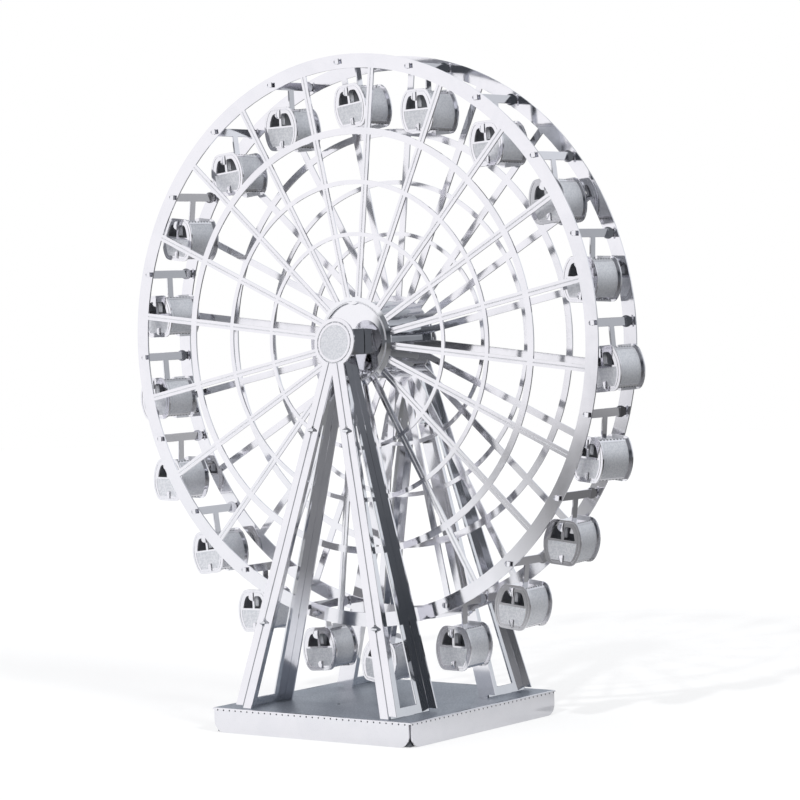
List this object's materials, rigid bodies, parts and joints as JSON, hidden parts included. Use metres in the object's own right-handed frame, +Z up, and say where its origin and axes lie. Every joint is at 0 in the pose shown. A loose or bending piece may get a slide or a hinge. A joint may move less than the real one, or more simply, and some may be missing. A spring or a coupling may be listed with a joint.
{
  "type": "toy ferris wheel",
  "caption": "Desk-top ferris wheel slotted together from etched sheet steel, with a spoked wheel of hanging cabins turning on an axle between two splayed supports on a folded tray.",
  "frame": {"origin": "on the ground under the middle of the wheel", "axes": "+Z up, +Y along the axle from front to rear, +X to the right seen from the front"},
  "size_m": [0.1018, 0.0432, 0.1147],
  "materials": {
    "tray_steel": "matt etched top, bright folded flanges",
    "frame_steel": "bright sheet with etched lines",
    "panel_steel": "bright sheet",
    "axle_steel": "polished sheet",
    "disc_steel": "bright sheet with an etched line along each spoke",
    "hub_steel": "mirror polished sheet",
    "hanger_steel": "bright sheet",
    "cabin_steel": "matt etched fields inside bright borders"
  },
  "bodies": {
    "stand": {"base_tray": "tray_steel", "front_a_frame": "frame_steel", "rear_a_frame": "frame_steel", "front_inner_frame": "frame_steel", "rear_inner_frame": "frame_steel", "front_left_panel": "panel_steel", "front_right_panel": "panel_steel", "rear_left_panel": "panel_steel", "rear_right_panel": "panel_steel", "front_axle_box": "axle_steel", "rear_axle_box": "axle_steel", "axle_tube": "axle_steel"},
    "wheel": {"front_wheel_disc": "disc_steel", "rear_wheel_disc": "disc_steel", "hub_drum": "hub_steel", "front_hub_cap": "hub_steel", "rear_hub_cap": "hub_steel"},
    "gondola_01": {"gondola_01_hanger": "hanger_steel", "gondola_01_cabin": "cabin_steel"},
    "gondola_02": {"gondola_02_hanger": "hanger_steel", "gondola_02_cabin": "cabin_steel"},
    "gondola_03": {"gondola_03_hanger": "hanger_steel", "gondola_03_cabin": "cabin_steel"},
    "gondola_04": {"gondola_04_hanger": "hanger_steel", "gondola_04_cabin": "cabin_steel"},
    "gondola_05": {"gondola_05_hanger": "hanger_steel", "gondola_05_cabin": "cabin_steel"},
    "gondola_06": {"gondola_06_hanger": "hanger_steel", "gondola_06_cabin": "cabin_steel"},
    "gondola_07": {"gondola_07_hanger": "hanger_steel", "gondola_07_cabin": "cabin_steel"},
    "gondola_08": {"gondola_08_hanger": "hanger_steel", "gondola_08_cabin": "cabin_steel"},
    "gondola_09": {"gondola_09_hanger": "hanger_steel", "gondola_09_cabin": "cabin_steel"},
    "gondola_10": {"gondola_10_hanger": "hanger_steel", "gondola_10_cabin": "cabin_steel"},
    "gondola_11": {"gondola_11_hanger": "hanger_steel", "gondola_11_cabin": "cabin_steel"},
    "gondola_12": {"gondola_12_hanger": "hanger_steel", "gondola_12_cabin": "cabin_steel"},
    "gondola_13": {"gondola_13_hanger": "hanger_steel", "gondola_13_cabin": "cabin_steel"},
    "gondola_14": {"gondola_14_hanger": "hanger_steel", "gondola_14_cabin": "cabin_steel"},
    "gondola_15": {"gondola_15_hanger": "hanger_steel", "gondola_15_cabin": "cabin_steel"},
    "gondola_16": {"gondola_16_hanger": "hanger_steel", "gondola_16_cabin": "cabin_steel"},
    "gondola_17": {"gondola_17_hanger": "hanger_steel", "gondola_17_cabin": "cabin_steel"},
    "gondola_18": {"gondola_18_hanger": "hanger_steel", "gondola_18_cabin": "cabin_steel"},
    "gondola_19": {"gondola_19_hanger": "hanger_steel", "gondola_19_cabin": "cabin_steel"},
    "gondola_20": {"gondola_20_hanger": "hanger_steel", "gondola_20_cabin": "cabin_steel"}
  },
  "joints": [
    {"name": "wheel_spin", "type": "hinge", "parent": "stand", "child": "wheel", "pos_m": [0, 0, 0.066], "axis": [0, 1, 0], "continuous": true},
    {"name": "gondola_01_level", "type": "hinge", "parent": "wheel", "child": "gondola_01", "pos_m": [-0.00257, 0, 0.11343], "axis": [0, 1, 0], "continuous": true},
    {"name": "gondola_02_level", "type": "hinge", "parent": "wheel", "child": "gondola_02", "pos_m": [0.01221, 0, 0.1119], "axis": [0, 1, 0], "continuous": true},
    {"name": "gondola_03_level", "type": "hinge", "parent": "wheel", "child": "gondola_03", "pos_m": [0.0258, 0, 0.10588], "axis": [0, 1, 0], "continuous": true},
    {"name": "gondola_04_level", "type": "hinge", "parent": "wheel", "child": "gondola_04", "pos_m": [0.03686, 0, 0.09596], "axis": [0, 1, 0], "continuous": true},
    {"name": "gondola_05_level", "type": "hinge", "parent": "wheel", "child": "gondola_05", "pos_m": [0.04432, 0, 0.0831], "axis": [0, 1, 0], "continuous": true},
    {"name": "gondola_06_level", "type": "hinge", "parent": "wheel", "child": "gondola_06", "pos_m": [0.04743, 0, 0.06857], "axis": [0, 1, 0], "continuous": true},
    {"name": "gondola_07_level", "type": "hinge", "parent": "wheel", "child": "gondola_07", "pos_m": [0.0459, 0, 0.05379], "axis": [0, 1, 0], "continuous": true},
    {"name": "gondola_08_level", "type": "hinge", "parent": "wheel", "child": "gondola_08", "pos_m": [0.03988, 0, 0.0402], "axis": [0, 1, 0], "continuous": true},
    {"name": "gondola_09_level", "type": "hinge", "parent": "wheel", "child": "gondola_09", "pos_m": [0.02996, 0, 0.02914], "axis": [0, 1, 0], "continuous": true},
    {"name": "gondola_10_level", "type": "hinge", "parent": "wheel", "child": "gondola_10", "pos_m": [0.0171, 0, 0.02168], "axis": [0, 1, 0], "continuous": true},
    {"name": "gondola_11_level", "type": "hinge", "parent": "wheel", "child": "gondola_11", "pos_m": [0.00257, 0, 0.01857], "axis": [0, 1, 0], "continuous": true},
    {"name": "gondola_12_level", "type": "hinge", "parent": "wheel", "child": "gondola_12", "pos_m": [-0.01221, 0, 0.0201], "axis": [0, 1, 0], "continuous": true},
    {"name": "gondola_13_level", "type": "hinge", "parent": "wheel", "child": "gondola_13", "pos_m": [-0.0258, 0, 0.02612], "axis": [0, 1, 0], "continuous": true},
    {"name": "gondola_14_level", "type": "hinge", "parent": "wheel", "child": "gondola_14", "pos_m": [-0.03686, 0, 0.03604], "axis": [0, 1, 0], "continuous": true},
    {"name": "gondola_15_level", "type": "hinge", "parent": "wheel", "child": "gondola_15", "pos_m": [-0.04432, 0, 0.0489], "axis": [0, 1, 0], "continuous": true},
    {"name": "gondola_16_level", "type": "hinge", "parent": "wheel", "child": "gondola_16", "pos_m": [-0.04743, 0, 0.06343], "axis": [0, 1, 0], "continuous": true},
    {"name": "gondola_17_level", "type": "hinge", "parent": "wheel", "child": "gondola_17", "pos_m": [-0.0459, 0, 0.07821], "axis": [0, 1, 0], "continuous": true},
    {"name": "gondola_18_level", "type": "hinge", "parent": "wheel", "child": "gondola_18", "pos_m": [-0.03988, 0, 0.0918], "axis": [0, 1, 0], "continuous": true},
    {"name": "gondola_19_level", "type": "hinge", "parent": "wheel", "child": "gondola_19", "pos_m": [-0.02996, 0, 0.10286], "axis": [0, 1, 0], "continuous": true},
    {"name": "gondola_20_level", "type": "hinge", "parent": "wheel", "child": "gondola_20", "pos_m": [-0.0171, 0, 0.11032], "axis": [0, 1, 0], "continuous": true}
  ],
  "couplings": [
    {"joint": "gondola_01_level", "follows": "wheel_spin", "ratio": -1},
    {"joint": "gondola_02_level", "follows": "wheel_spin", "ratio": -1},
    {"joint": "gondola_03_level", "follows": "wheel_spin", "ratio": -1},
    {"joint": "gondola_04_level", "follows": "wheel_spin", "ratio": -1},
    {"joint": "gondola_05_level", "follows": "wheel_spin", "ratio": -1},
    {"joint": "gondola_06_level", "follows": "wheel_spin", "ratio": -1},
    {"joint": "gondola_07_level", "follows": "wheel_spin", "ratio": -1},
    {"joint": "gondola_08_level", "follows": "wheel_spin", "ratio": -1},
    {"joint": "gondola_09_level", "follows": "wheel_spin", "ratio": -1},
    {"joint": "gondola_10_level", "follows": "wheel_spin", "ratio": -1},
    {"joint": "gondola_11_level", "follows": "wheel_spin", "ratio": -1},
    {"joint": "gondola_12_level", "follows": "wheel_spin", "ratio": -1},
    {"joint": "gondola_13_level", "follows": "wheel_spin", "ratio": -1},
    {"joint": "gondola_14_level", "follows": "wheel_spin", "ratio": -1},
    {"joint": "gondola_15_level", "follows": "wheel_spin", "ratio": -1},
    {"joint": "gondola_16_level", "follows": "wheel_spin", "ratio": -1},
    {"joint": "gondola_17_level", "follows": "wheel_spin", "ratio": -1},
    {"joint": "gondola_18_level", "follows": "wheel_spin", "ratio": -1},
    {"joint": "gondola_19_level", "follows": "wheel_spin", "ratio": -1},
    {"joint": "gondola_20_level", "follows": "wheel_spin", "ratio": -1}
  ]
}
